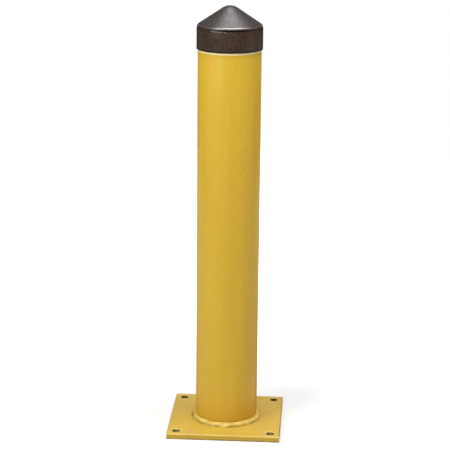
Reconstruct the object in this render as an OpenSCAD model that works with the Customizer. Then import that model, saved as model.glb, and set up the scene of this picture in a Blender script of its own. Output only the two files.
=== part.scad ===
// Floor-mounted safety bollard.
// A steel post stands on a square base plate and is welded to it all round.
// A moulded cap pushes over the post's top end and closes it.
// Millimetres. +Z is up, and the origin is the centre of the plate's underside.

/* [Post] */
// Height of the post's top end above the floor
post_height = 914.4; // [500:0.1:1300]
// Outside diameter of the post
post_diameter = 139.7; // [100:0.1:200]
// Wall thickness of the post
post_wall = 4.8; // [2.5:0.1:9]

/* [Base plate] */
// Side of the square base plate
plate_width = 254; // [230:1:400]
// Thickness of the base plate
plate_thickness = 12.7; // [6:0.1:25]
// Radius of the plate's four upright corners
plate_corner_radius = 2; // [1.6:0.1:12]
// Chamfer that breaks the plate's top and bottom edges
plate_chamfer = 1.2; // [0.2:0.1:1.5]

/* [Anchor holes] */
// Diameter of an anchor hole
hole_diameter = 19; // [10:0.5:26]
// Distance from the plate's two nearest edges to a hole's centre
hole_inset = 21; // [17:0.5:25]
// Chamfer that breaks a hole's top and bottom edges
hole_chamfer = 0.8; // [0.2:0.1:1.5]

/* [Foot weld] */
// Reach of the weld bead outwards along the plate
weld_plate_leg = 8.5; // [4:0.1:12]
// Reach of the weld bead upwards along the post
weld_post_leg = 8.5; // [4:0.1:12]
// Bulge of the bead beyond the straight line between its two toes
weld_crown = 1; // [0.5:0.1:1.5]
// Distance from one ripple of the bead to the next
weld_ripple_pitch = 5.5; // [4:0.1:9]
// Depth of the valleys between ripples
weld_ripple_depth = 0.6; // [0.1:0.1:0.8]

/* [Cap shell] */
// Reach of the cap's skirt down the post, below the post's top end
cap_reach = 50; // [25:0.5:90]
// Wall thickness of the skirt
cap_wall = 2.2; // [1.5:0.1:5]
// Thickness of the cone, measured square to its surface
cap_roof = 2.5; // [1.5:0.1:6]
// Radial room between the post and the inside of the skirt
cap_clearance = 0.5; // [0.3:0.05:1]
// Room between the post's top end and the corner inside the cap
cap_headroom = 0.4; // [0.2:0.1:2]
// Slope of the cone, from level
cap_slope = 33.8; // [15:0.1:45]
// Radius of the rounded tip
cap_tip_radius = 30; // [10:0.5:50]
// Radius of the rounded edge between skirt and cone
cap_rim_radius = 6; // [0.5:0.1:7]
// Step by which the band under the rim stands back from the skirt
cap_step = 0.6; // [0.2:0.1:0.8]
// Drop from the sharp corner of the rim to the top of that step
cap_step_drop = 6.5; // [4:0.1:12]
// Radius of the rounded edge at the mouth of the skirt
cap_lip_radius = 0.8; // [0.3:0.1:1]

/* [Cap ribs] */
// Number of grip ribs in the skirt, and of seat webs under the cone
cap_rib_count = 8; // [4:1:12]
// Room between a grip rib and the post
grip_rib_clearance = 0.05; // [0.02:0.01:0.2]
// Height at which the grip ribs start, above the mouth of the skirt
grip_rib_start = 6; // [3:0.5:20]
// Thickness of a seat web
seat_web_thickness = 2; // [1.2:0.1:4]
// Reach of a seat web inwards past the inside of the post's wall
seat_web_reach = 12; // [4:0.5:25]

/* [Hidden] */

steel_yellow = [0.84, 0.68, 0.24];
cap_brown = [0.28, 0.23, 0.20];

// Overlap that makes a cut or a joined piece run past the surface that it meets
past = 1;
// Segments of a full circle, and of a small rounded corner
round_steps = 128;
corner_steps = 32;

post_radius = post_diameter / 2;
post_bore_radius = post_radius - post_wall;

hole_offset = plate_width / 2 - hole_inset;
hole_radius = hole_diameter / 2;

// Width of the bead's face, straight from toe to toe
weld_face = norm([weld_plate_leg, weld_post_leg]);
weld_middle_radius = post_radius + weld_plate_leg / 2;
weld_ripples = round(2 * PI * weld_middle_radius / weld_ripple_pitch);
// Rings of points that make one ripple, and steps across the bead in one ring
rings_per_ripple = 3;
weld_steps = 5;
weld_rings = weld_ripples * rings_per_ripple;
// The part of a ripple by which the middle of the bead trails its toes
weld_trail = 0.45;
// How far a ring runs on, so that it ends inside the post's wall and is trimmed there
weld_overrun = 1.15;

cap_bore_radius = post_radius + cap_clearance;
cap_radius = cap_bore_radius + cap_wall;
// The band under the rim, which the cone grows out of
cap_band_wall = cap_wall - cap_step;
cap_band_radius = cap_bore_radius + cap_band_wall;
cap_mouth = post_height - cap_reach;
cap_inner_corner = post_height + cap_headroom;
// Height of the sharp corner that the rim's round replaces
cap_shoulder = cap_inner_corner + cap_roof / cos(cap_slope) - cap_band_wall * tan(cap_slope);
// Height of the tip ball's centre: its surface runs smoothly into the cone
tip_centre = cap_shoulder + cap_band_radius * tan(cap_slope) - cap_tip_radius / cos(cap_slope);
tip_steps = 12;
rim_steps = 6;

// A grip rib is centred on the inside of the skirt and stops just short of the post
grip_rib_radius = cap_clearance - grip_rib_clearance;
grip_rib_lead = 4;

// Points of an arc in the plane of a profile, from one angle to another
function arc(centre, radius, from, to, steps) = [
    for (i = [0 : steps])
        let (angle = from + (to - from) * i / steps)
            centre + radius * [cos(angle), sin(angle)]
];

// Height of a ripple along the bead, from 0 in a valley to 1 on a crest
function ripple(turns) = abs(sin(180 * turns));

// A point of the bead's face. turns counts ripples along the bead, and share runs from
// the toe on the plate, 0, to the toe on the post, 1
function weld_point(turns, share) =
    let (
        valley = weld_ripple_depth * (1 - ripple(turns)),
        bow = 4 * share * (1 - share),
        bulge = bow * (weld_crown - valley),
        reach = (weld_plate_leg - valley) * (1 - share) + bulge * weld_post_leg / weld_face,
        rise = (weld_post_leg - valley) * share + bulge * weld_plate_leg / weld_face,
        angle = 360 * (turns - weld_trail * bow) / weld_ripples
    )
    on_circle(post_radius + reach, angle, plate_thickness + rise);

// A point at a radius, an angle and a height
function on_circle(radius, angle, height) = [radius * cos(angle), radius * sin(angle), height];

// One closed ring of points across the bead: its root, then its face
function weld_ring(turns) = concat(
    [on_circle(post_radius - past, 360 * turns / weld_ripples, plate_thickness)],
    [for (j = [0 : weld_steps]) weld_point(turns, weld_overrun * j / weld_steps)]
);

// The cap's section: up the outside from the mouth, over the tip, and down the inside
function cap_outline() =
    let (
        cone_normal = 90 - cap_slope,
        rim_centre = [
            cap_band_radius - cap_rim_radius,
            cap_shoulder - cap_rim_radius * tan(cone_normal / 2)
        ],
        step_centre = [cap_band_radius, cap_shoulder - cap_step_drop - cap_step],
        lip_centre = [cap_radius - cap_lip_radius, cap_mouth + cap_lip_radius]
    )
    concat(
        [[cap_bore_radius, cap_mouth]],
        arc(lip_centre, cap_lip_radius, -90, 0, rim_steps),
        arc(step_centre, cap_step, 0, 90, rim_steps),
        arc(rim_centre, cap_rim_radius, 0, cone_normal, rim_steps),
        arc([0, tip_centre], cap_tip_radius, cone_normal, 90, tip_steps),
        arc([0, tip_centre], cap_tip_radius - cap_roof, 90, cone_normal, tip_steps),
        [[cap_bore_radius, cap_inner_corner]]
    );

// Puts copies of a piece round the post's axis
module around(count) {
    for (i = [0 : count - 1])
        rotate([0, 0, 360 * i / count])
            children();
}

// Puts copies of a piece at the four anchor holes
module at_holes() {
    for (x = [-hole_offset, hole_offset], y = [-hole_offset, hole_offset])
        translate([x, y, 0])
            children();
}

// A flat slab with a square outline and rounded upright corners
module slab(width, corner_radius, thickness) {
    corner = width / 2 - corner_radius;
    linear_extrude(thickness)
        hull()
            for (x = [-corner, corner], y = [-corner, corner])
                translate([x, y])
                    circle(corner_radius, $fn = corner_steps);
}

// The post: a plain length of pipe that stands on the plate
module post() {
    color(steel_yellow)
        translate([0, 0, plate_thickness])
            difference() {
                cylinder(h = post_height - plate_thickness, r = post_radius, $fn = round_steps);
                translate([0, 0, -past])
                    cylinder(
                        h = post_height - plate_thickness + 2 * past,
                        r = post_bore_radius,
                        $fn = round_steps
                    );
            }
}

// The tool that drills one anchor hole and breaks its two edges
module hole_cutter() {
    flare = hole_chamfer + past;
    translate([0, 0, -past])
        cylinder(h = plate_thickness + 2 * past, r = hole_radius, $fn = round_steps);
    translate([0, 0, plate_thickness - hole_chamfer])
        cylinder(h = flare, r1 = hole_radius, r2 = hole_radius + flare, $fn = round_steps);
    translate([0, 0, -past])
        cylinder(h = flare, r1 = hole_radius + flare, r2 = hole_radius, $fn = round_steps);
}

// The base plate, with its edges broken and its four anchor holes drilled
module base_plate() {
    color(steel_yellow)
        difference() {
            hull() {
                slab(plate_width - 2 * plate_chamfer, plate_corner_radius - plate_chamfer, plate_thickness);
                translate([0, 0, plate_chamfer])
                    slab(plate_width, plate_corner_radius, plate_thickness - 2 * plate_chamfer);
            }
            at_holes() hole_cutter();
        }
}

// The fillet weld round the post's foot: one rippled bead, closed on itself
module foot_weld() {
    ring_points = weld_steps + 2;
    points = [for (i = [0 : weld_rings - 1]) each weld_ring(i / rings_per_ripple)];
    faces = [
        for (i = [0 : weld_rings - 1], j = [0 : ring_points - 1])
            let (
                this_ring = i * ring_points,
                next_ring = ((i + 1) % weld_rings) * ring_points,
                k = (j + 1) % ring_points
            )
            each [
                [this_ring + j, next_ring + k, next_ring + j],
                [this_ring + j, this_ring + k, next_ring + k]
            ]
    ];
    color(steel_yellow)
        difference() {
            polyhedron(points = points, faces = faces);
            cylinder(h = 2 * (plate_thickness + weld_post_leg), r = post_radius, $fn = round_steps);
        }
}

// The cap's moulded shell: a skirt, a band, a cone and a rounded tip, all of thin wall
module cap_shell() {
    rotate_extrude($fn = round_steps)
        polygon(cap_outline());
}

// A rib inside the skirt that grips the post, with a tapered lead at its lower end
module grip_rib() {
    rib_foot = cap_mouth + grip_rib_start;
    translate([cap_bore_radius, 0, rib_foot]) {
        cylinder(h = grip_rib_lead, r1 = grip_rib_radius / 4, r2 = grip_rib_radius, $fn = corner_steps);
        translate([0, 0, grip_rib_lead])
            cylinder(
                h = cap_inner_corner - rib_foot - grip_rib_lead,
                r = grip_rib_radius,
                $fn = corner_steps
            );
    }
}

// A web under the cone whose flat lower edge rests on the post's top end
module seat_web() {
    web_start = post_bore_radius - seat_web_reach;
    web_end = cap_bore_radius + cap_band_wall / 2;
    middle_of_roof = cap_inner_corner + cap_roof / cos(cap_slope) / 2;
    function roof_height(r) = middle_of_roof + (cap_bore_radius - r) * tan(cap_slope);
    rotate([90, 0, 0])
        linear_extrude(seat_web_thickness, center = true)
            polygon([
                [web_start, post_height],
                [web_end, post_height],
                [web_end, roof_height(web_end)],
                [web_start, roof_height(web_start)]
            ]);
}

// The cap: the shell, with its grip ribs and seat webs moulded in one piece with it
module cap() {
    color(cap_brown)
        union() {
            cap_shell();
            around(cap_rib_count) {
                grip_rib();
                seat_web();
            }
        }
}

post();
base_plate();
foot_weld();
cap();
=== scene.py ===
# Looks of a safety bollard: painted post, anchor plate, weld bead and moulded cap, in metres
import math

import bmesh
import bpy
from mathutils import Matrix, Vector, noise


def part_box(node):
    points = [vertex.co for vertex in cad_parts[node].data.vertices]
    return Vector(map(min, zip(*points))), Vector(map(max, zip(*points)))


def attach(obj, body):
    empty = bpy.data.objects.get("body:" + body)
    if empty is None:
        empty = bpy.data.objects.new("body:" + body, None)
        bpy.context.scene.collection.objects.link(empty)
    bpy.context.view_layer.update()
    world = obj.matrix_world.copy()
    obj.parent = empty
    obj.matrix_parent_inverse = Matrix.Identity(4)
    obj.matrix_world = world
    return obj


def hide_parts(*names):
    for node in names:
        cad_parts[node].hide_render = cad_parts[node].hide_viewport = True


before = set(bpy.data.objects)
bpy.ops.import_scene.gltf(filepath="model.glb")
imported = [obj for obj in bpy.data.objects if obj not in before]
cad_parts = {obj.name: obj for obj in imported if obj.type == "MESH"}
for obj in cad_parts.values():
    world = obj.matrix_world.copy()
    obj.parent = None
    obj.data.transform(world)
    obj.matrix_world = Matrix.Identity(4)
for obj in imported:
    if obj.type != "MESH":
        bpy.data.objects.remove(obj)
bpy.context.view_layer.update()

MM = 0.001
ROUND_STEPS = 192

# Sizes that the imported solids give
post_low, post_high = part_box("post")
plate_low, plate_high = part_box("base_plate")
cap_low, cap_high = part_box("cap")

POST_RADIUS = post_high.x
POST_FOOT = post_low.z
POST_TOP = post_high.z
PLATE_HALF = plate_high.x
PLATE_TOP = plate_high.z
CAP_RADIUS = cap_high.x
CAP_MOUTH = cap_low.z

# Sizes that the box of a solid doesn't give
POST_WALL = 4.8 * MM
POST_END_ROUND = 0.5 * MM

HOLE_RADIUS = 9.5 * MM
HOLE_INSET = 21 * MM
HOLE_ROUND = 1.0 * MM
PLATE_CORNER_RADIUS = 2 * MM
PLATE_EDGE_ROUND = 1.6 * MM

WELD_PLATE_LEG = 8.5 * MM
WELD_POST_LEG = 8.5 * MM
WELD_CROWN = 1.1 * MM
WELD_RIPPLE_PITCH = 5.5 * MM
WELD_RIPPLE_DEPTH = 0.6 * MM
WELD_WANDER = 1.3 * MM
WELD_LEAN = 0.7 * MM
WELD_TRAIL = 0.45
WELD_STEPS_PER_RIPPLE = 10
WELD_STEPS_ACROSS = 12
# How fine the bead's chance changes are: slow and quick wander, timing and depth of its ripples
WELD_SLOW_NOISE = 3.1
WELD_QUICK_NOISE = 11
WELD_TIMING_NOISE = 17
WELD_VALLEY_NOISE = 23

CAP_WALL = 2.2 * MM
CAP_ROOF = 2.5 * MM
CAP_HEADROOM = 0.4 * MM
CAP_SLOPE = math.radians(33.8)
CAP_TIP_RADIUS = 30 * MM
CAP_RIM_RADIUS = 6 * MM
CAP_STEP = 0.6 * MM
CAP_STEP_DROP = 6.5 * MM
CAP_LIP_RADIUS = 0.8 * MM
CAP_RIB_COUNT = 8
GRIP_RIB_RADIUS = 0.45 * MM
GRIP_RIB_START = 6 * MM
GRIP_RIB_LEAD = 4 * MM
SEAT_WEB_THICKNESS = 2 * MM
SEAT_WEB_REACH = 12 * MM
RIB_SEGMENTS = 16

# Sizes of the cap that follow from those above
CAP_BORE = CAP_RADIUS - CAP_WALL
CAP_BAND = CAP_RADIUS - CAP_STEP
CAP_CORNER = POST_TOP + CAP_HEADROOM
CAP_SHOULDER = CAP_CORNER + CAP_ROOF / math.cos(CAP_SLOPE) - (CAP_BAND - CAP_BORE) * math.tan(CAP_SLOPE)
CONE_NORMAL = math.pi / 2 - CAP_SLOPE
RIM_CENTRE = CAP_SHOULDER - CAP_RIM_RADIUS * math.tan(CONE_NORMAL / 2)

# Place of the highlight painted on the cap's step, in degrees from the camera's side
STEP_HIGHLIGHT_FROM = -31
STEP_HIGHLIGHT_TO = -2
# Places across the front between which the shade painted in the cap's ledge is darkest
LEDGE_SHADE_FROM = -5 * MM
LEDGE_SHADE_TO = 30 * MM
# How far beyond them it thins, and what share of it is left at the cap's sides
LEDGE_SHADE_FADE = 28 * MM
LEDGE_SHADE_AT_SIDES = 0.35
# Angles up the rim's round between which it is polished
RIM_POLISH_START = math.radians(19)
RIM_POLISH_END = math.radians(50)
# Height of the pale band painted under the cap as a highlight
UNDER_CAP_HIGHLIGHT_HEIGHT = 4.2 * MM
# Height of the more orange paint at the post's foot, and of the stretch above it where it fades
FOOT_ORANGE_HEIGHT = 60 * MM
FOOT_ORANGE_FADE = 90 * MM
# How much shade is painted inside the anchor holes, and how much on the lit middles of the front ones
HOLE_SHADE = 0.9
HOLE_SHADE_LIT = 0.6
# How far those parts reach to each side of a hole's middle, and how far beyond that they fade
HOLE_LIT_REACH = 2.5 * MM
HOLE_LIT_FADE = 4 * MM


# Camera

CAMERA_DISTANCE = 3.488
CAMERA_HEIGHT = 1.395
CAMERA_AZIMUTH = math.radians(3.526)
CAMERA_HEADING = math.radians(3.638)
CAMERA_PITCH = math.radians(14.902)
CAMERA_ROLL = math.radians(0.527)
CAMERA_LENS = 128.78


def set_camera():
    camera_data = bpy.data.cameras.new("photo_camera")
    camera_data.lens = CAMERA_LENS
    camera_data.sensor_width = 36
    camera = bpy.data.objects.new("photo_camera", camera_data)
    bpy.context.scene.collection.objects.link(camera)
    place = Vector((
        CAMERA_DISTANCE * math.sin(CAMERA_AZIMUTH),
        -CAMERA_DISTANCE * math.cos(CAMERA_AZIMUTH),
        CAMERA_HEIGHT,
    ))
    camera.matrix_world = (
        Matrix.Translation(place)
        @ Matrix.Rotation(CAMERA_HEADING, 4, "Z")
        @ Matrix.Rotation(math.pi / 2 - CAMERA_PITCH, 4, "X")
        @ Matrix.Rotation(CAMERA_ROLL, 4, "Z")
    )
    bpy.context.scene.camera = camera


# Shader helpers

FLOAT = "NodeSocketFloat"
COLOUR = "NodeSocketColor"
NORMAL = "NodeSocketVector"


def new_material(name):
    material = bpy.data.materials.new(name)
    material.use_nodes = True
    tree = material.node_tree
    shader = next(node for node in tree.nodes if node.type == "BSDF_PRINCIPLED")
    return material, tree, shader


def add_node(tree, kind, **values):
    node = tree.nodes.new(kind)
    for name, value in values.items():
        setattr(node, name, value)
    return node


def group_with(name, inputs, outputs):
    group = bpy.data.node_groups.new(name, "ShaderNodeTree")
    for socket_name, socket_type, default in inputs:
        socket = group.interface.new_socket(socket_name, in_out="INPUT", socket_type=socket_type)
        socket.default_value = default
    for socket_name, socket_type in outputs:
        group.interface.new_socket(socket_name, in_out="OUTPUT", socket_type=socket_type)
    return group, group.nodes.new("NodeGroupInput"), group.nodes.new("NodeGroupOutput")


def place_group(tree, group, **values):
    node = tree.nodes.new("ShaderNodeGroup")
    node.node_tree = group
    for name, value in values.items():
        node.inputs[name.replace("_", " ")].default_value = value
    return node


def feed(tree, socket, value):
    """Links a socket to another node's output, or sets it to a plain value."""
    if isinstance(value, bpy.types.NodeSocket):
        tree.links.new(value, socket)
    else:
        socket.default_value = value


def noise_at(tree, vector, scale, detail, roughness=0.5):
    node = add_node(tree, "ShaderNodeTexNoise")
    sockets = {"Vector": vector, "Scale": scale, "Detail": detail, "Roughness": roughness}
    for name, value in sockets.items():
        feed(tree, node.inputs[name], value)
    return node.outputs["Fac"]


def spread(tree, value, low, high, to_low=0.0, to_high=1.0):
    """Maps a value from low..high to to_low..to_high, and holds it there."""
    node = add_node(tree, "ShaderNodeMapRange")
    sockets = {"Value": value, "From Min": low, "From Max": high, "To Min": to_low, "To Max": to_high}
    for name, given in sockets.items():
        feed(tree, node.inputs[name], given)
    return node.outputs["Result"]


def maths(tree, operation, first, second):
    node = add_node(tree, "ShaderNodeMath", operation=operation)
    feed(tree, node.inputs[0], first)
    feed(tree, node.inputs[1], second)
    return node.outputs["Value"]


def blend_colours(tree, share, first, second, mode="MIX"):
    node = add_node(tree, "ShaderNodeMix", data_type="RGBA", blend_type=mode)
    sockets = {"Factor": share, "A": first, "B": second}
    for name, value in sockets.items():
        socket = next(s for s in node.inputs if s.name == name and s.enabled)
        feed(tree, socket, value)
    return next(s for s in node.outputs if s.enabled)


def attribute_mask(tree, name):
    return add_node(tree, "ShaderNodeAttribute", attribute_name=name).outputs["Fac"]


# Finishes

# Dark brown for dirt, and for shade painted into creases and along the plate's foot
DIRT_AND_SHADE = (0.14, 0.08, 0.008, 1)
SPECK_COLOUR = (0.24, 0.16, 0.05, 1)
# Pale paint, painted as a highlight on the plate's front edge and hole rims
RIM_HIGHLIGHT_PAINT = (0.90, 0.72, 0.24, 1)
# Pale paint, painted under the cap's mouth as a highlight
UNDER_CAP_HIGHLIGHT = (0.98, 0.87, 0.42, 1)
# A more orange paint towards the post's foot
FOOT_ORANGE_PAINT = (0.76, 0.46, 0.055, 1)
STREAK_PAINT = (0.63, 0.405, 0.022, 1)
# Darker paint on the plate's side walls, painted as shade
SHADED_WALL_PAINT = (0.48, 0.30, 0.01, 1)
# Pale paint, painted in patches on the bead as highlights
BEAD_HIGHLIGHT = (0.91, 0.71, 0.17, 1)
# Near black, painted as shade inside the anchor holes
HOLE_SHADE_COLOUR = (0.06, 0.038, 0.006, 1)
CAP_DARK = (0.013, 0.006, 0.002, 1)
CAP_BROWN = (0.047, 0.022, 0.007, 1)
CAP_FLECK = (0.078, 0.053, 0.035, 1)
# Near black, painted as shade in the cap's ledge and at its mouth
CAP_SHADE = (0.004, 0.003, 0.002, 1)
# Pale grey, painted as a highlight on the cap's step
STEP_HIGHLIGHT_COLOUR = (0.62, 0.58, 0.56, 1)
CONE_DUST = (0.034, 0.031, 0.035, 1)
POST_SHINE = 0.35
CAP_SHINE = 0.5
RIM_COAT_ROUGHNESS = 0.32
RIM_COAT_IOR = 2.0


def limb_gloss(tree, shine):
    """Takes the gloss off where the surface turns away and would mirror the white backdrop."""
    facing = add_node(tree, "ShaderNodeLayerWeight").outputs["Facing"]
    return maths(tree, "MULTIPLY", shine, spread(tree, facing, 0.6, 0.8, 1.0, 0.0))


def vector_step(tree, operation, vector, other=(0, 0, 0)):
    """Carries a place through one step of vector arithmetic."""
    node = add_node(tree, "ShaderNodeVectorMath", operation=operation)
    feed(tree, node.inputs[0], vector)
    feed(tree, node.inputs[1], other)
    return node.outputs["Value" if operation == "LENGTH" else "Vector"]


def band_along(tree, axis, place, low, high, fade):
    """Is 1 between two places along an axis, and fades to 0 just outside them."""
    distances = add_node(tree, "ShaderNodeSeparateXYZ")
    tree.links.new(place, distances.inputs["Vector"])
    past_low = spread(tree, distances.outputs[axis], low - fade, low)
    before_high = spread(tree, distances.outputs[axis], high, high + fade, 1.0, 0.0)
    return maths(tree, "MULTIPLY", past_low, before_high)


def height_band(tree, place, low, high, fade):
    return band_along(tree, "Z", place, low, high, fade)


def paint_film_group():
    """Sprayed paint: soft clouds of tone, a fine mottle, orange peel and a few specks of dust."""
    group, given, result = group_with(
        "paint film",
        [
            ("Tint", COLOUR, (0.7, 0.45, 0.06, 1)),
            ("Thin Tint", COLOUR, (0.6, 0.38, 0.06, 1)),
            ("Cloud Size", FLOAT, 9.0),
            ("Peel Scale", FLOAT, 420.0),
            ("Peel Height", FLOAT, 0.0001),
            ("Dust", FLOAT, 0.3),
            ("Mottle", FLOAT, 0.12),
            ("Gloss", FLOAT, 0.45),
        ],
        [("Color", COLOUR), ("Roughness", FLOAT), ("Normal", NORMAL)],
    )
    links = group.links
    place = add_node(group, "ShaderNodeTexCoord").outputs["Object"]

    cloud_share = spread(group, noise_at(group, place, given.outputs["Cloud Size"], 4, 0.55), 0.35, 0.68)
    toned = blend_colours(group, cloud_share, given.outputs["Tint"], given.outputs["Thin Tint"])
    uneven = maths(group, "SUBTRACT", noise_at(group, place, 230, 3, 0.6), 0.5)
    evenness = maths(group, "ADD", maths(group, "MULTIPLY", uneven, given.outputs["Mottle"]), 1.0)
    toned = blend_colours(group, 1.0, toned, evenness, "MULTIPLY")

    specks = add_node(group, "ShaderNodeTexVoronoi", feature="F1")
    specks.inputs["Scale"].default_value = 130
    links.new(place, specks.inputs["Vector"])
    speck_mask = spread(group, specks.outputs["Distance"], 0.05, 0.12, 1.0, 0.0)
    chosen = spread(group, noise_at(group, place, 37, 2), 0.56, 0.62)
    dust_mask = maths(group, "MULTIPLY", speck_mask, chosen)
    dust_mask = maths(group, "MULTIPLY", dust_mask, given.outputs["Dust"])
    dusted = blend_colours(group, dust_mask, toned, SPECK_COLOUR)
    links.new(dusted, result.inputs["Color"])

    fine = noise_at(group, place, 900, 2)
    rough = spread(group, fine, 0.3, 0.7, -0.035, 0.035)
    patch = spread(group, noise_at(group, place, 14, 3), 0.3, 0.7, -0.04, 0.04)
    roughness = maths(group, "ADD", given.outputs["Gloss"], maths(group, "ADD", rough, patch))
    links.new(roughness, result.inputs["Roughness"])

    peel = noise_at(group, place, given.outputs["Peel Scale"], 2, 0.45)
    height = maths(group, "ADD", peel, maths(group, "MULTIPLY", dust_mask, 0.6))
    bump = add_node(group, "ShaderNodeBump")
    bump.inputs["Strength"].default_value = 1.0
    links.new(given.outputs["Peel Height"], bump.inputs["Distance"])
    links.new(height, bump.inputs["Height"])
    links.new(bump.outputs["Normal"], result.inputs["Normal"])
    return group


def patchy_layer_group():
    """Dirt, dust, painted shade and painted highlights: a second colour over the first, where a mask
    allows it, broken into patches.
    """
    group, given, result = group_with(
        "patchy layer",
        [
            ("Color", COLOUR, (0.5, 0.5, 0.5, 1)),
            ("Layer Color", COLOUR, DIRT_AND_SHADE),
            ("Mask", FLOAT, 1.0),
            ("Patch Scale", FLOAT, 60.0),
            ("Thin At", FLOAT, 0.35),
            ("Thick At", FLOAT, 0.6),
            ("Least", FLOAT, 0.0),
            ("Most", FLOAT, 1.0),
        ],
        [("Color", COLOUR)],
    )
    place = add_node(group, "ShaderNodeTexCoord").outputs["Object"]
    patches = spread(
        group, noise_at(group, place, given.outputs["Patch Scale"], 3),
        given.outputs["Thin At"], given.outputs["Thick At"], given.outputs["Least"], given.outputs["Most"],
    )
    share = maths(group, "MULTIPLY", given.outputs["Mask"], patches)
    layered = blend_colours(group, share, given.outputs["Color"], given.outputs["Layer Color"])
    group.links.new(layered, result.inputs["Color"])
    return group


def lay_over(tree, layer, colour, mask, **values):
    """Lays dirt, dust, painted shade or a painted highlight over a colour, where the mask is, and gives
    the new colour.
    """
    placed = place_group(tree, layer, **values)
    feed(tree, placed.inputs["Color"], colour)
    feed(tree, placed.inputs["Mask"], mask)
    return placed.outputs["Color"]


def connect_finish(tree, finish, shader):
    for name in ("Roughness", "Normal"):
        tree.links.new(finish.outputs[name], shader.inputs[name])


def post_paint(film, layer):
    material, tree, shader = new_material("post_paint")
    finish = place_group(
        tree, film,
        Tint=(0.675, 0.455, 0.028, 1), Thin_Tint=(0.695, 0.415, 0.036, 1),
        Cloud_Size=9.0, Peel_Scale=330.0, Peel_Height=0.00012, Dust=0.35, Mottle=0.42, Gloss=0.46,
    )
    place = add_node(tree, "ShaderNodeTexCoord").outputs["Object"]
    drawn_out = vector_step(tree, "MULTIPLY", place, (1, 1, 0.05))
    streaks = spread(tree, noise_at(tree, drawn_out, 46, 2), 0.4, 0.62, 0.0, 0.6)
    colour = blend_colours(tree, streaks, finish.outputs["Color"], STREAK_PAINT)
    # More orange paint towards the post's foot
    foot_orange = height_band(tree, place, 0, FOOT_ORANGE_HEIGHT, FOOT_ORANGE_FADE)
    colour = blend_colours(tree, maths(tree, "MULTIPLY", foot_orange, 0.55), colour, FOOT_ORANGE_PAINT)
    # Shade painted in dark patches in the crease just above the weld bead
    weld_top = PLATE_TOP + WELD_POST_LEG
    crease = height_band(tree, place, weld_top, weld_top + 2 * MM, 1.5 * MM)
    colour = lay_over(tree, layer, colour, crease, Patch_Scale=60.0, Least=0.1, Most=0.5)
    # A pale band painted under the cap's mouth as a highlight
    under_cap_highlight = height_band(tree, place, CAP_MOUTH - UNDER_CAP_HIGHLIGHT_HEIGHT, CAP_MOUTH, 0.8 * MM)
    colour = blend_colours(tree, under_cap_highlight, colour, UNDER_CAP_HIGHLIGHT)
    tree.links.new(colour, shader.inputs["Base Color"])
    shader.inputs["Specular IOR Level"].default_value = POST_SHINE
    tree.links.new(limb_gloss(tree, POST_SHINE), shader.inputs["Specular IOR Level"])
    connect_finish(tree, finish, shader)
    return material


def ring_round_post(tree, place, from_radius, to_radius):
    """Is 1 within one distance of the post's axis, and fades to 0 at another."""
    away = vector_step(tree, "LENGTH", vector_step(tree, "MULTIPLY", place, (1, 1, 0)))
    return spread(tree, away, from_radius, to_radius, 1.0, 0.0)


def rings_round_holes(tree, place, from_radius, to_radius):
    """Is 1 on the plate's top close round the anchor holes, where pale rings are painted as the rims'
    highlight.
    """
    centre = PLATE_HALF - HOLE_INSET
    folded = vector_step(tree, "ABSOLUTE", place)
    away = vector_step(tree, "LENGTH", vector_step(tree, "SUBTRACT", folded, (centre, centre, PLATE_TOP)))
    return spread(tree, away, from_radius, to_radius, 1.0, 0.0)


def lit_in_holes(tree, place):
    """Is 1 at the middle of the front anchor holes' walls, where less shade is painted as light reaches
    in, and fades to 0 at the holes' sides.
    """
    centre = PLATE_HALF - HOLE_INSET
    folded = vector_step(tree, "ABSOLUTE", place)
    at_middle = band_along(
        tree, "X", folded, centre - HOLE_LIT_REACH, centre + HOLE_LIT_REACH, HOLE_LIT_FADE,
    )
    in_front = band_along(tree, "Y", place, -PLATE_HALF, 0, HOLE_RADIUS)
    return maths(tree, "MULTIPLY", at_middle, in_front)


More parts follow.
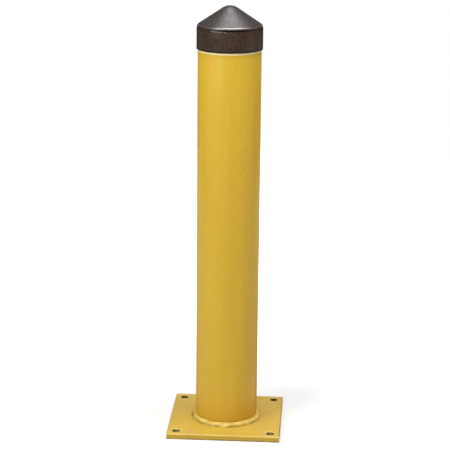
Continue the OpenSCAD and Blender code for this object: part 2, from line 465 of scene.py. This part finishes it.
def plate_paint(film, layer):
    material, tree, shader = new_material("plate_paint")
    finish = place_group(
        tree, film,
        Tint=(0.68, 0.455, 0.055, 1), Thin_Tint=(0.62, 0.405, 0.065, 1),
        Cloud_Size=16.0, Peel_Scale=300.0, Peel_Height=0.00018, Dust=0.55, Mottle=0.5, Gloss=0.52,
    )
    place = add_node(tree, "ShaderNodeTexCoord").outputs["Object"]
    # Dirt and painted shade in a ring on the plate beside the weld's toe
    toe_radius = POST_RADIUS + WELD_PLATE_LEG
    beside_weld = ring_round_post(tree, place, toe_radius, toe_radius + 5 * MM)
    colour = lay_over(
        tree, layer, finish.outputs["Color"], beside_weld,
        Patch_Scale=70.0, Thin_At=0.36, Thick_At=0.62, Least=0.12, Most=0.62,
    )
    # Pale rings painted round the anchor holes as the rims' highlight
    hole_rim_highlight = rings_round_holes(tree, place, HOLE_RADIUS + MM, HOLE_RADIUS + 3.5 * MM)
    colour = lay_over(
        tree, layer, colour, hole_rim_highlight,
        Layer_Color=RIM_HIGHLIGHT_PAINT, Patch_Scale=90.0, Thin_At=0.3, Least=0.4, Most=0.8,
    )
    # Shade painted inside the anchor holes, less of it on the lit middles of the front ones
    hole_shade = spread(tree, lit_in_holes(tree, place), 0, 1, HOLE_SHADE, HOLE_SHADE_LIT)
    # The plate's side walls get a darker paint as shade, and the holes' walls the shade above
    for name, share, tint in (
        ("wall", 0.6, SHADED_WALL_PAINT),
        ("bore", hole_shade, HOLE_SHADE_COLOUR),
    ):
        share = maths(tree, "MULTIPLY", attribute_mask(tree, name), share)
        colour = blend_colours(tree, share, colour, tint)
    # A highlight painted on the front top edge and the holes' rims
    colour = lay_over(
        tree, layer, colour, attribute_mask(tree, "edge"),
        Layer_Color=RIM_HIGHLIGHT_PAINT, Patch_Scale=55.0, Least=0.4, Most=0.95,
    )
    # Dark broken lines on the other top edges, and shade painted along the foot where the plate meets the
    # floor
    near_floor = height_band(tree, place, -MM, 1.8 * MM, 0.8 * MM)
    dark_edges = maths(tree, "MAXIMUM", attribute_mask(tree, "dark_edges"), near_floor)
    colour = lay_over(tree, layer, colour, dark_edges, Patch_Scale=45.0, Thick_At=0.56, Least=0.25)
    tree.links.new(colour, shader.inputs["Base Color"])
    connect_finish(tree, finish, shader)
    return material


def weld_paint(film, layer):
    material, tree, shader = new_material("weld_paint")
    finish = place_group(
        tree, film,
        Tint=(0.67, 0.465, 0.06, 1), Thin_Tint=(0.62, 0.42, 0.05, 1),
        Cloud_Size=40.0, Peel_Scale=500.0, Peel_Height=0.0001, Dust=0.5, Mottle=0.4, Gloss=0.38,
    )
    # Pale patches painted over the bead as highlights
    colour = lay_over(
        tree, layer, finish.outputs["Color"], 1.0,
        Layer_Color=BEAD_HIGHLIGHT, Patch_Scale=62.0, Thin_At=0.4, Least=0.1, Most=0.85,
    )
    # Dirt and painted shade along the bead's toe, where it meets the plate
    colour = lay_over(
        tree, layer, colour, attribute_mask(tree, "toe"),
        Patch_Scale=70.0, Thin_At=0.36, Thick_At=0.6, Least=0.25, Most=0.66,
    )
    tree.links.new(colour, shader.inputs["Base Color"])
    connect_finish(tree, finish, shader)
    return material


def cap_plastic(layer):
    material, tree, shader = new_material("cap_plastic")
    place = add_node(tree, "ShaderNodeTexCoord").outputs["Object"]
    mottle = spread(tree, noise_at(tree, place, 75, 5, 0.65), 0.34, 0.64)
    tone = blend_colours(tree, mottle, CAP_DARK, CAP_BROWN)
    pale = spread(tree, noise_at(tree, place, 330, 3), 0.5, 0.64)
    flecked = blend_colours(tree, maths(tree, "MULTIPLY", pale, 0.75), tone, CAP_FLECK)
    on_cone = height_band(tree, place, CAP_SHOULDER, cap_high.z, 2 * MM)
    colour = lay_over(
        tree, layer, flecked, on_cone,
        Layer_Color=CONE_DUST, Patch_Scale=90.0, Thin_At=0.3, Least=0.35, Most=0.75,
    )
    # A highlight painted on the step at the front-left of the cap
    colour = lay_over(
        tree, layer, colour, attribute_mask(tree, "step_highlight"),
        Layer_Color=STEP_HIGHLIGHT_COLOUR, Patch_Scale=260.0, Thin_At=0.3, Thick_At=0.55,
    )
    # Shade painted in the ledge under the rim, darkest on the front, and along the mouth
    ledge = CAP_SHOULDER - CAP_STEP_DROP
    thick = band_along(tree, "X", place, LEDGE_SHADE_FROM, LEDGE_SHADE_TO, LEDGE_SHADE_FADE)
    in_ledge = height_band(tree, place, ledge + 0.2 * MM, ledge + 2.6 * MM, 0.8 * MM)
    in_ledge = maths(tree, "MULTIPLY", in_ledge, spread(tree, thick, 0, 1, LEDGE_SHADE_AT_SIDES, 1.0))
    at_mouth = height_band(tree, place, CAP_MOUTH, CAP_MOUTH + 2 * MM, 1.2 * MM)
    painted_shade = maths(tree, "MAXIMUM", in_ledge, at_mouth)
    colour = blend_colours(tree, maths(tree, "MULTIPLY", painted_shade, 0.95), colour, CAP_SHADE)
    tree.links.new(colour, shader.inputs["Base Color"])
    roughness = spread(tree, noise_at(tree, place, 60, 3), 0.3, 0.7, 0.35, 0.45)
    tree.links.new(roughness, shader.inputs["Roughness"])
    polish_start = RIM_CENTRE + CAP_RIM_RADIUS * math.sin(RIM_POLISH_START)
    polish_end = RIM_CENTRE + CAP_RIM_RADIUS * math.sin(RIM_POLISH_END)
    polish = height_band(tree, place, polish_start, polish_end, 0.3 * MM)
    tree.links.new(polish, shader.inputs["Coat Weight"])
    grain = noise_at(tree, place, 380, 3, 0.6)
    shine = spread(tree, polish, 0, 1, CAP_SHINE, 1.0)
    shine = maths(tree, "MULTIPLY", shine, spread(tree, painted_shade, 0, 1, 1.0, 0.1))
    shine = maths(tree, "MULTIPLY", shine, spread(tree, grain, 0.38, 0.62, 0.45, 1.55))
    shader.inputs["Specular IOR Level"].default_value = CAP_SHINE
    tree.links.new(limb_gloss(tree, shine), shader.inputs["Specular IOR Level"])
    shader.inputs["Coat Roughness"].default_value = RIM_COAT_ROUGHNESS
    shader.inputs["Coat IOR"].default_value = RIM_COAT_IOR
    bump = add_node(tree, "ShaderNodeBump")
    bump.inputs["Strength"].default_value = 1.0
    bump.inputs["Distance"].default_value = 0.0003
    tree.links.new(grain, bump.inputs["Height"])
    tree.links.new(bump.outputs["Normal"], shader.inputs["Normal"])
    return material


# Mesh helpers

Z_AXIS = Vector((0, 0, 1))
Y_AXIS = Vector((0, 1, 0))
MERGE_DISTANCE = 0.000002


def outline_to(mesh, last, x, z):
    """Draws a straight stretch of a profile, from its last point to x, z."""
    point = mesh.verts.new((x, 0, z))
    if last is not None:
        mesh.edges.new((last, point))
    return point


def outline_arc(mesh, last, centre_x, centre_z, angle, steps):
    """Carries a profile on round a centre. A positive angle turns it clockwise, seen from -Y."""
    turned = bmesh.ops.spin(
        mesh, geom=[last], cent=(centre_x, 0, centre_z), axis=Y_AXIS,
        dvec=(0, 0, 0), angle=angle, steps=steps, use_duplicate=False, use_merge=False,
    )
    return [item for item in turned["geom_last"] if isinstance(item, bmesh.types.BMVert)][0]


def turn_full(mesh, steps=ROUND_STEPS):
    """Turns the whole profile round the post's axis into a closed skin."""
    bmesh.ops.spin(
        mesh, geom=mesh.verts[:] + mesh.edges[:], cent=(0, 0, 0), axis=Z_AXIS,
        dvec=(0, 0, 0), angle=2 * math.pi, steps=steps, use_duplicate=False, use_merge=True,
    )
    bmesh.ops.remove_doubles(mesh, verts=mesh.verts[:], dist=MERGE_DISTANCE)
    bmesh.ops.recalc_face_normals(mesh, faces=mesh.faces[:])


def round_edges(mesh, edges, radius, segments):
    bmesh.ops.bevel(
        mesh, geom=edges, offset=radius, offset_type="OFFSET", segments=segments,
        profile=0.5, affect="EDGES", material=-1, clamp_overlap=False,
    )


def add_piece(name, mesh, material, node, sharp_degrees=35):
    """Makes a finished piece from its mesh, in the place of the solid that it stands for."""
    data = bpy.data.meshes.new(name)
    mesh.to_mesh(data)
    mesh.free()
    data.shade_smooth()
    data.set_sharp_from_angle(angle=math.radians(sharp_degrees))
    data.materials.append(material)
    piece = bpy.data.objects.new(name, data)
    bpy.context.scene.collection.objects.link(piece)
    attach(piece, "root")
    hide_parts(node)
    return piece


# Pieces

def make_post(material):
    mesh = bmesh.new()
    inner = POST_RADIUS - POST_WALL
    first = outline_to(mesh, None, inner, POST_FOOT)
    last = outline_to(mesh, first, POST_RADIUS, POST_FOOT)
    last = outline_to(mesh, last, POST_RADIUS, POST_TOP)
    last = outline_to(mesh, last, inner, POST_TOP)
    mesh.edges.new((last, first))
    turn_full(mesh)
    ends = [
        edge for edge in mesh.edges
        if abs(edge.verts[0].co.z - edge.verts[1].co.z) < MERGE_DISTANCE
        and abs(edge.verts[0].co.xy.length - edge.verts[1].co.xy.length) < MERGE_DISTANCE
    ]
    round_edges(mesh, ends, POST_END_ROUND, 2)
    return add_piece("post_pipe", mesh, material, "post")


def make_plate(material):
    mesh = bmesh.new()
    sheet = bmesh.ops.create_grid(mesh, x_segments=1, y_segments=1, size=PLATE_HALF)
    bmesh.ops.bevel(
        mesh, geom=sheet["verts"], offset=PLATE_CORNER_RADIUS, offset_type="OFFSET", segments=5,
        profile=0.5, affect="VERTICES", material=-1, clamp_overlap=True,
    )
    bmesh.ops.delete(mesh, geom=mesh.faces[:], context="FACES_ONLY")
    offset = PLATE_HALF - HOLE_INSET
    for x in (-offset, offset):
        for y in (-offset, offset):
            bmesh.ops.create_circle(
                mesh, cap_ends=False, radius=HOLE_RADIUS, segments=64,
                matrix=Matrix.Translation((x, y, 0)),
            )
    bmesh.ops.triangle_fill(mesh, use_beauty=True, use_dissolve=False, edges=mesh.edges[:])
    bmesh.ops.translate(mesh, verts=mesh.verts[:], vec=(0, 0, plate_low.z))
    top = bmesh.ops.extrude_face_region(mesh, geom=mesh.faces[:])
    raised = [item for item in top["geom"] if isinstance(item, bmesh.types.BMVert)]
    bmesh.ops.translate(mesh, verts=raised, vec=(0, 0, PLATE_TOP - plate_low.z))
    bmesh.ops.recalc_face_normals(mesh, faces=mesh.faces[:])

    edge_mask = mesh.verts.layers.float.new("edge")
    bore_mask = mesh.verts.layers.float.new("bore")
    wall_mask = mesh.verts.layers.float.new("wall")
    dark_edge_mask = mesh.verts.layers.float.new("dark_edges")

    def near_hole(place, reach):
        across, along = abs(place.x) - offset, abs(place.y) - offset
        return math.hypot(across, along) < reach

    rims = [e for e in mesh.edges if e.calc_face_angle(0) > math.radians(60)]
    hole_rims = [e for e in rims if near_hole(e.verts[0].co, 1.5 * HOLE_RADIUS)]
    outer_rims = [e for e in rims if not near_hole(e.verts[0].co, 1.5 * HOLE_RADIUS)]
    round_edges(mesh, outer_rims, PLATE_EDGE_ROUND, 4)
    round_edges(mesh, [e for e in hole_rims if e.is_valid], HOLE_ROUND, 3)
    # bore marks the holes' walls, where shade is painted; wall the side walls, painted darker as shade;
    # edge the front and hole rims, where a highlight is painted; the other top edges get dark lines
    for vert in mesh.verts:
        from_flats = min(abs(vert.co.z - PLATE_TOP), abs(vert.co.z - plate_low.z))
        on_flat = from_flats < MERGE_DISTANCE
        on_wall = max(abs(vert.co.x), abs(vert.co.y)) > PLATE_HALF - MERGE_DISTANCE
        at_hole = near_hole(vert.co, HOLE_RADIUS + 2 * HOLE_ROUND)
        front = vert.co.y < MERGE_DISTANCE - PLATE_HALF + PLATE_EDGE_ROUND
        upper = vert.co.z > PLATE_TOP / 2
        if near_hole(vert.co, HOLE_RADIUS + MERGE_DISTANCE * 10):
            vert[bore_mask] = 1.0
        elif on_wall:
            vert[wall_mask] = 1.0
        elif upper and not on_flat and (front or at_hole):
            vert[edge_mask] = 1.0
        elif upper and not on_flat:
            vert[dark_edge_mask] = 1.0
    return add_piece("anchor_plate", mesh, material, "base_plate", 30)


def make_weld(material):
    mesh = bmesh.new()
    face_width = math.hypot(WELD_PLATE_LEG, WELD_POST_LEG)
    ripples = round(2 * math.pi * (POST_RADIUS + WELD_PLATE_LEG / 2) / WELD_RIPPLE_PITCH)
    first = outline_to(mesh, None, POST_RADIUS, PLATE_TOP)
    last = first
    for step in range(WELD_STEPS_ACROSS + 1):
        share = step / WELD_STEPS_ACROSS
        last = outline_to(
            mesh, last,
            POST_RADIUS + WELD_PLATE_LEG * (1 - share),
            PLATE_TOP + WELD_POST_LEG * share,
        )
    mesh.edges.new((last, first))
    turn_full(mesh, ripples * WELD_STEPS_PER_RIPPLE)
    # toe marks the bead's lower part, where dirt and shade are painted
    toe_mask = mesh.verts.layers.float.new("toe")
    for vert in mesh.verts:
        angle = math.atan2(vert.co.y, vert.co.x)
        out = vert.co.xy.length - POST_RADIUS
        up = vert.co.z - PLATE_TOP
        if out < MERGE_DISTANCE and up < MERGE_DISTANCE:
            continue
        share = min(1.0, max(0.0, up / WELD_POST_LEG))
        bow = 4 * share * (1 - share)
        spot = Vector((math.cos(angle), math.sin(angle), 0))
        drift = WELD_LEAN * spot.x + noise.noise(spot * WELD_SLOW_NOISE) * WELD_WANDER
        drift += noise.noise(spot * WELD_QUICK_NOISE + Z_AXIS) * WELD_WANDER / 2
        turns = angle / (2 * math.pi) * ripples + WELD_TRAIL * bow
        turns += 0.35 * noise.noise(spot * WELD_TIMING_NOISE)
        crest = abs(math.sin(math.pi * turns))
        depth_share = 0.8 + 0.5 * noise.noise(spot * WELD_VALLEY_NOISE + 2 * Z_AXIS)
        valley = WELD_RIPPLE_DEPTH * (1 - crest) * depth_share
        reach = max(0, out / WELD_PLATE_LEG) * (WELD_PLATE_LEG - valley + drift)
        rise = share * (WELD_POST_LEG - valley + drift * 0.6)
        bulge = bow ** 0.6 * (WELD_CROWN - valley)
        radius = POST_RADIUS + reach + bulge * WELD_POST_LEG / face_width
        vert.co.x = radius * math.cos(angle)
        vert.co.y = radius * math.sin(angle)
        vert.co.z = PLATE_TOP + rise + bulge * WELD_PLATE_LEG / face_width
        vert[toe_mask] = min(1.0, max(0.0, 2 - share * 5)) if out > MERGE_DISTANCE else 0.0
    return add_piece("foot_bead", mesh, material, "foot_weld", 50)


def grip_rib(mesh):
    """A half-round rib inside the skirt, with a tapered lead at its lower end."""
    foot = CAP_MOUTH + GRIP_RIB_START
    lead = bmesh.ops.create_cone(
        mesh, cap_ends=True, segments=RIB_SEGMENTS, radius1=GRIP_RIB_RADIUS / 4,
        radius2=GRIP_RIB_RADIUS, depth=GRIP_RIB_LEAD,
        matrix=Matrix.Translation((CAP_BORE, 0, foot + GRIP_RIB_LEAD / 2)),
    )
    top = max(vert.co.z for vert in lead["verts"])
    cover = [face for face in mesh.faces if min(vert.co.z for vert in face.verts) > top - MERGE_DISTANCE]
    raised = bmesh.ops.extrude_face_region(mesh, geom=cover)
    bmesh.ops.delete(mesh, geom=cover, context="FACES_ONLY")
    bmesh.ops.translate(
        mesh, verts=[item for item in raised["geom"] if isinstance(item, bmesh.types.BMVert)],
        vec=(0, 0, CAP_CORNER + CAP_ROOF / 2 - top),
    )


def seat_web(mesh):
    """A web under the cone whose flat lower edge rests on the post's top end."""
    start = POST_RADIUS - POST_WALL - SEAT_WEB_REACH
    end = (CAP_BORE + CAP_BAND) / 2
    web = bmesh.ops.create_cube(mesh, size=1)["verts"]
    bmesh.ops.scale(mesh, verts=web, vec=(end - start, SEAT_WEB_THICKNESS, 1))
    for vert in web:
        vert.co.x += (start + end) / 2
        in_roof = CAP_CORNER + CAP_ROOF / 2 / math.cos(CAP_SLOPE)
        in_roof += (CAP_BORE - vert.co.x) * math.tan(CAP_SLOPE)
        vert.co.z = in_roof if vert.co.z > 0 else POST_TOP


def cap_inside():
    """The ribs and webs inside the cap, as closed blocks that reach into its wall."""
    inside = bmesh.new()
    for number in range(CAP_RIB_COUNT):
        block = bmesh.new()
        seat_web(block)
        rib = bmesh.new()
        grip_rib(rib)
        turn = Matrix.Rotation(2 * math.pi * number / CAP_RIB_COUNT, 4, "Z")
        for part in (block, rib):
            part.transform(turn)
            bmesh.ops.recalc_face_normals(part, faces=part.faces[:])
            moved = bpy.data.meshes.new("cap_inside_part")
            part.to_mesh(moved)
            part.free()
            inside.from_mesh(moved)
            bpy.data.meshes.remove(moved)
    data = bpy.data.meshes.new("cap_inside")
    inside.to_mesh(data)
    inside.free()
    return bpy.data.objects.new("cap_inside", data)


def make_cap(material):
    mesh = bmesh.new()
    tip_centre = CAP_SHOULDER + CAP_BAND * math.tan(CAP_SLOPE) - CAP_TIP_RADIUS / math.cos(CAP_SLOPE)
    step_centre = CAP_SHOULDER - CAP_STEP_DROP - CAP_STEP

    first = outline_to(mesh, None, CAP_BORE, CAP_MOUTH)
    last = outline_to(mesh, first, CAP_RADIUS - CAP_LIP_RADIUS, CAP_MOUTH)
    lip_centre = CAP_MOUTH + CAP_LIP_RADIUS
    last = outline_arc(mesh, last, CAP_RADIUS - CAP_LIP_RADIUS, lip_centre, -math.pi / 2, 6)
    last = outline_to(mesh, last, CAP_RADIUS, step_centre)
    last = outline_arc(mesh, last, CAP_BAND, step_centre, -math.pi / 2, 6)
    last = outline_to(mesh, last, CAP_BAND, RIM_CENTRE)
    last = outline_arc(mesh, last, CAP_BAND - CAP_RIM_RADIUS, RIM_CENTRE, -CONE_NORMAL, 16)
    tangent = CAP_TIP_RADIUS * math.cos(CONE_NORMAL)
    last = outline_to(mesh, last, tangent, tip_centre + CAP_TIP_RADIUS * math.sin(CONE_NORMAL))
    last = outline_arc(mesh, last, 0, tip_centre, -CAP_SLOPE, 14)
    last = outline_to(mesh, None, 0, tip_centre + CAP_TIP_RADIUS - CAP_ROOF)
    last = outline_arc(mesh, last, 0, tip_centre, CAP_SLOPE, 10)
    last = outline_to(mesh, last, CAP_BORE, CAP_CORNER)
    mesh.edges.new((last, first))
    turn_full(mesh)
    # Marks where a highlight is painted on the step
    step_highlight_mask = mesh.verts.layers.float.new("step_highlight")
    for vert in mesh.verts:
        above = vert.co.z - step_centre
        on_step = MERGE_DISTANCE < above < CAP_STEP - MERGE_DISTANCE and vert.co.xy.length > CAP_BAND
        angle = math.degrees(math.atan2(vert.co.x, -vert.co.y))
        if on_step and STEP_HIGHLIGHT_FROM < angle < STEP_HIGHLIGHT_TO:
            vert[step_highlight_mask] = 1.0
    cap = add_piece("post_cap", mesh, material, "cap", 40)
    inside = cap_inside()
    bpy.context.scene.collection.objects.link(inside)
    joined = cap.modifiers.new("ribs and webs", "BOOLEAN")
    joined.operation = "UNION"
    joined.solver = "EXACT"
    joined.use_self = True
    joined.object = inside
    whole = bpy.data.meshes.new_from_object(cap.evaluated_get(bpy.context.evaluated_depsgraph_get()))
    cap.modifiers.clear()
    cap.data = whole
    bpy.data.objects.remove(inside)
    return cap


# Floor, world and lamps

FLOOR_RADIUS = 3.0
FLOOR_NEAR = 0.25
FLOOR_FAR = 0.9
FLOOR_NEAR_LIFT = 0.22
FLOOR_FAR_LIFT = 0.95
WORLD_LIGHT = 0.11
BACKDROP_EDGE = (0.90, 0.98)
FLOOR_MIRROR_START = 0.3
FLOOR_MIRROR_FULL = 1.2
FLOOR_WHITE = (0.75, 0.75, 0.75, 1)


def shown_rays(tree, backdrop):
    """Is 1 for the camera, through glass, and in mirrored views of the backdrop."""
    rays = add_node(tree, "ShaderNodeLightPath")
    mirrored = maths(tree, "MULTIPLY", rays.outputs["Is Glossy Ray"], backdrop)
    shown = maths(tree, "MAXIMUM", rays.outputs["Is Camera Ray"], rays.outputs["Is Transmission Ray"])
    return maths(tree, "MAXIMUM", shown, mirrored)


def make_floor():
    """A white floor that fades into the white background away from the post and keeps its shadow."""
    mesh = bmesh.new()
    bmesh.ops.create_circle(mesh, cap_ends=True, radius=FLOOR_RADIUS, segments=96)
    data = bpy.data.meshes.new("studio_floor")
    mesh.to_mesh(data)
    mesh.free()
    material, tree, shader = new_material("studio_floor")
    shader.inputs["Base Color"].default_value = FLOOR_WHITE
    shader.inputs["Roughness"].default_value = 0.9
    shader.inputs["Specular IOR Level"].default_value = 0.1
    shader.inputs["Emission Color"].default_value = (1, 1, 1, 1)
    place = add_node(tree, "ShaderNodeTexCoord").outputs["Object"]
    away = vector_step(tree, "LENGTH", place)
    lift = spread(tree, away, FLOOR_NEAR, FLOOR_FAR, FLOOR_NEAR_LIFT, FLOOR_FAR_LIFT)
    sides = add_node(tree, "ShaderNodeSeparateXYZ")
    tree.links.new(place, sides.inputs["Vector"])
    behind = spread(tree, sides.outputs["Y"], FLOOR_MIRROR_START, FLOOR_MIRROR_FULL)
    glow = maths(tree, "MULTIPLY", shown_rays(tree, behind), lift)
    tree.links.new(glow, shader.inputs["Emission Strength"])
    data.materials.append(material)
    floor = bpy.data.objects.new("studio_floor", data)
    bpy.context.scene.collection.objects.link(floor)


def set_world():
    world = bpy.data.worlds.new("studio")
    world.use_nodes = True
    bpy.context.scene.world = world
    tree = world.node_tree
    background = next(node for node in tree.nodes if node.type == "BACKGROUND")
    background.inputs["Color"].default_value = (1, 1, 1, 1)
    heading = add_node(tree, "ShaderNodeSeparateXYZ")
    tree.links.new(add_node(tree, "ShaderNodeTexCoord").outputs["Generated"], heading.inputs["Vector"])
    shown = shown_rays(tree, spread(tree, heading.outputs["Y"], *BACKDROP_EDGE))
    strength = maths(tree, "ADD", WORLD_LIGHT, maths(tree, "MULTIPLY", shown, 1 - WORLD_LIGHT))
    tree.links.new(strength, background.inputs["Strength"])


def add_lamp(name, azimuth, elevation, distance, aim_height, size, radiance, colour):
    """A soft box that faces a point on the post's axis. Azimuth 0 is the camera's side."""
    azimuth = math.radians(azimuth)
    elevation = math.radians(elevation)
    aim = Vector((0, 0, aim_height))
    way = Vector((
        math.sin(azimuth) * math.cos(elevation),
        -math.cos(azimuth) * math.cos(elevation),
        math.sin(elevation),
    ))
    lamp_data = bpy.data.lights.new(name, "AREA")
    lamp_data.shape = "RECTANGLE"
    lamp_data.size, lamp_data.size_y = size
    lamp_data.energy = radiance * math.pi * size[0] * size[1]
    lamp_data.color = colour
    lamp = bpy.data.objects.new(name, lamp_data)
    bpy.context.scene.collection.objects.link(lamp)
    lamp.matrix_world = (
        Matrix.Translation(aim + way * distance) @ way.to_track_quat("Z", "Y").to_matrix().to_4x4()
    )


def set_lamps():
    add_lamp("overhead_softbox", 50, 84, 1.9, POST_TOP, (1.8, 1.8), 7.2, (0.98, 1.0, 0.99))
    add_lamp("key_softbox", -42, 31, 3.4, 0.32, (1.4, 1.3), 9.4, (1.0, 0.99, 0.97))
    add_lamp("right_softbox", 80, 22, 2.6, 0.45, (0.8, 1.4), 1.6, (1.0, 0.66, 0.70))
    add_lamp("foot_softbox", 80, 7, 1.9, 0.12, (0.9, 0.2), 3.6, (1.0, 0.80, 0.80))
    add_lamp("low_softbox", 8, 24, 3.2, 0.15, (1.2, 0.8), 2.7, (1.0, 0.90, 0.85))


set_camera()
film = paint_film_group()
layer = patchy_layer_group()
make_post(post_paint(film, layer))
make_plate(plate_paint(film, layer))
make_weld(weld_paint(film, layer))
make_cap(cap_plastic(layer))
make_floor()
set_world()
set_lamps()
bpy.context.scene.view_settings.view_transform = "Standard"
